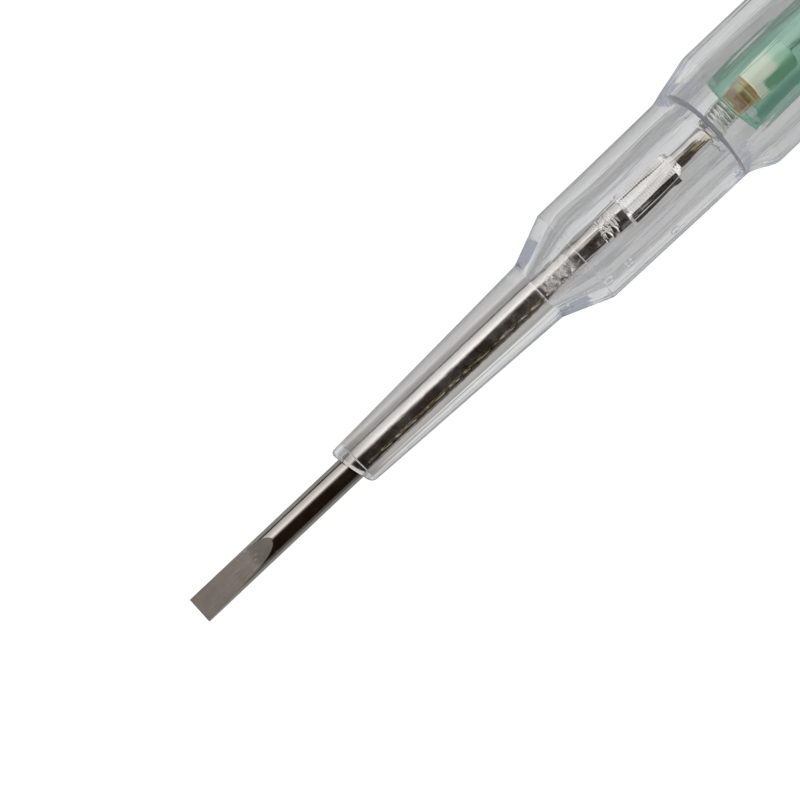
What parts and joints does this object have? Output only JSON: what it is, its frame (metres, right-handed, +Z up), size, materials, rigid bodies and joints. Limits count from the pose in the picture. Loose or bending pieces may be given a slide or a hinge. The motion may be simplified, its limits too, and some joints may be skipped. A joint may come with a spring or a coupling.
{
  "type": "voltage tester screwdriver",
  "caption": "Slim slotted screwdriver with a clear handle, a neon test lamp in a green cartridge, springs, a screw cap and a pocket clip.",
  "frame": {"origin": "middle of the object's box, on the surface that the tool lies on", "axes": "+X along the tool from the blade's tip to the cap, +Z up, the clip on the -Y side"},
  "size_m": [0.1402, 0.0171, 0.0142],
  "materials": {
    "clear_plastic": "clear, glossy",
    "green_plastic": "see-through green, glossy",
    "nickel_plate": "bright nickel plate",
    "spring_steel": "drawn wire",
    "dull_brass": "tarnished",
    "bright_brass": "turned",
    "white_ceramic": "unglazed ceramic",
    "lamp_glass": "clear",
    "tinned_wire": "tinned"
  },
  "bodies": {
    "handle_body": {"handle": "clear_plastic", "thread_insert": "bright_brass", "blade_shaft": "nickel_plate", "front_spring": "spring_steel"},
    "cartridge": {"cartridge_tube": "green_plastic", "resistor_front_cap": "dull_brass", "resistor_body": "white_ceramic", "resistor_lead": "tinned_wire", "lamp_glass": "lamp_glass", "lamp_front_cap": "bright_brass", "lamp_rear_cap": "bright_brass", "lamp_electrode_front": "tinned_wire", "lamp_electrode_rear": "tinned_wire", "contact_button": "bright_brass", "rear_spring": "spring_steel"},
    "washer": {"clip_washer": "nickel_plate"},
    "clip": {"pocket_clip": "nickel_plate"},
    "cap": {"cap_shell": "nickel_plate", "cap_plug": "bright_brass", "touch_rivet": "bright_brass"}
  },
  "joints": [
    {"name": "cap_travel", "type": "slide", "parent": "handle_body", "child": "washer", "axis": [1, 0, 0], "range_m": [0, 0.006], "deforming": ["rear_spring"]},
    {"name": "cap_unscrew", "type": "hinge", "parent": "washer", "child": "cap", "pos_m": [0, 0.00143, 0.00701], "axis": [1, 0, 0], "range_deg": [0, 2160]},
    {"name": "clip_swivel", "type": "hinge", "parent": "washer", "child": "clip", "pos_m": [0, 0.00143, 0.00701], "axis": [1, 0, 0], "continuous": true},
    {"name": "cartridge_slide", "type": "slide", "parent": "handle_body", "child": "cartridge", "axis": [1, 0, 0], "range_m": [0, 0.002], "deforming": ["front_spring"]}
  ],
  "couplings": [
    {"joint": "cap_travel", "follows": "cap_unscrew", "m_per_rad": 0.00015915},
    {"joint": "cartridge_slide", "follows": "cap_unscrew", "m_per_rad": 0.000053051}
  ]
}
